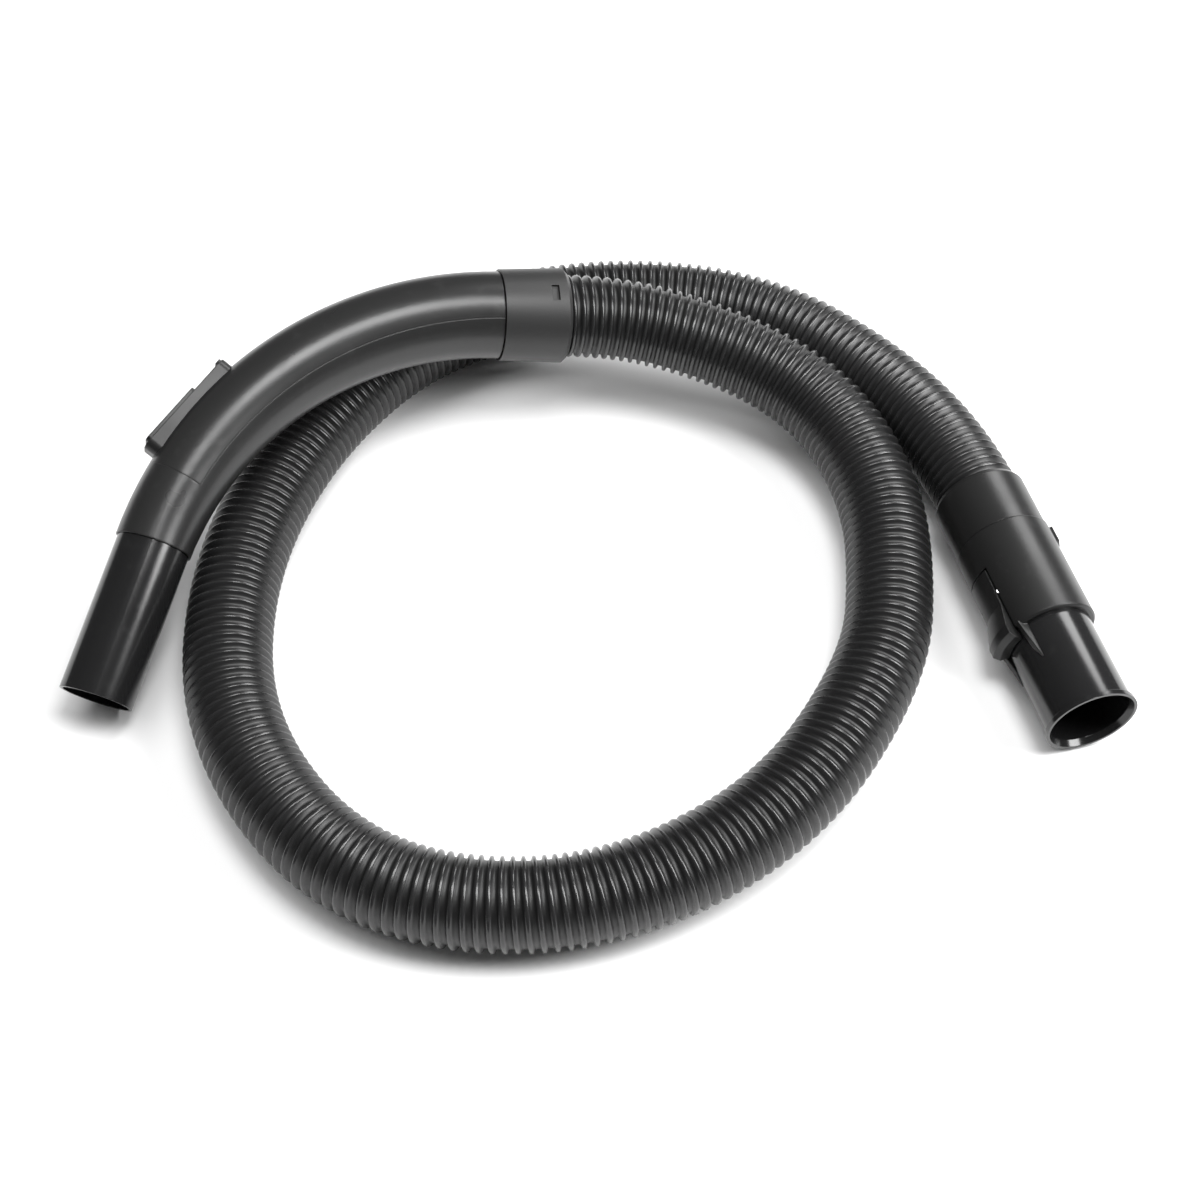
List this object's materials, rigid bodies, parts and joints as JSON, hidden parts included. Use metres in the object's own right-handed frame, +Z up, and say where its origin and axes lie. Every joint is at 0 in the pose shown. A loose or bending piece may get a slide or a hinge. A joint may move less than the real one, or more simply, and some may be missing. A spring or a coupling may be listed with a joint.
{
  "type": "vacuum cleaner hose",
  "caption": "Ribbed vacuum cleaner hose lying in a loop, with a bent swivelling handle and wand tube, a sliding air bleed, and a latched machine connector that turns.",
  "frame": {"origin": "centre of the base of the box round the handle and connector as they lie, on the surface the hose lies on", "axes": "+Z up from that surface; +X from the wand tube's side across to the connector's side; +Y towards the collar, away from the two open ends"},
  "size_m": [0.5028, 0.4134, 0.0936],
  "materials": {
    "hose_plastic": "semi-gloss ribbed black",
    "grip_plastic": "satin black",
    "wand_plastic": "smooth black",
    "collar_plastic": "matte dark grey",
    "bush_plastic": "moulded, unpolished",
    "seal_rubber": "matte",
    "spring_steel": "drawn wire"
  },
  "bodies": {
    "hose_run": {"hose": "hose_plastic", "handle_collar": "collar_plastic", "collar_bush": "bush_plastic", "collar_seal": "seal_rubber", "machine_cuff": "collar_plastic", "cuff_bush": "bush_plastic", "cuff_seal": "seal_rubber"},
    "handle": {"wand_tube": "wand_plastic", "grip_shell": "grip_plastic", "handle_cover": "grip_plastic", "handle_clip": "bush_plastic", "bleed_frame": "collar_plastic", "bleed_gasket": "seal_rubber", "bleed_detent": "spring_steel"},
    "bleed_shutter": {"bleed_slider": "collar_plastic"},
    "connector": {"connector_body": "grip_plastic", "nozzle_tube": "wand_plastic", "connector_clip": "bush_plastic", "latch_pin": "spring_steel", "latch_spring": "spring_steel"},
    "latch": {"latch_lever": "grip_plastic"}
  },
  "joints": [
    {"name": "handle_swivel", "type": "hinge", "parent": "hose_run", "child": "handle", "pos_m": [-0.05008, 0.09804, 0.06529], "axis": [-0.9683, -0.1709, 0.1823], "range_deg": [0, 180]},
    {"name": "bleed_slide", "type": "slide", "parent": "handle", "child": "bleed_shutter", "axis": [0.5867, 0.7812, 0.2136], "range_m": [0, 0.016]},
    {"name": "connector_swivel", "type": "hinge", "parent": "hose_run", "child": "connector", "pos_m": [0.19443, 0.00979, 0.024], "axis": [0.2609, -0.9654, 0], "continuous": true},
    {"name": "latch_pivot", "type": "hinge", "parent": "connector", "child": "latch", "pos_m": [0.19098, -0.05951, 0.02855], "axis": [-0.2007, -0.0542, -0.9781], "range_deg": [0, 4], "stiffness_Nm_per_rad": 0.4, "deforming": ["latch_spring"]}
  ]
}
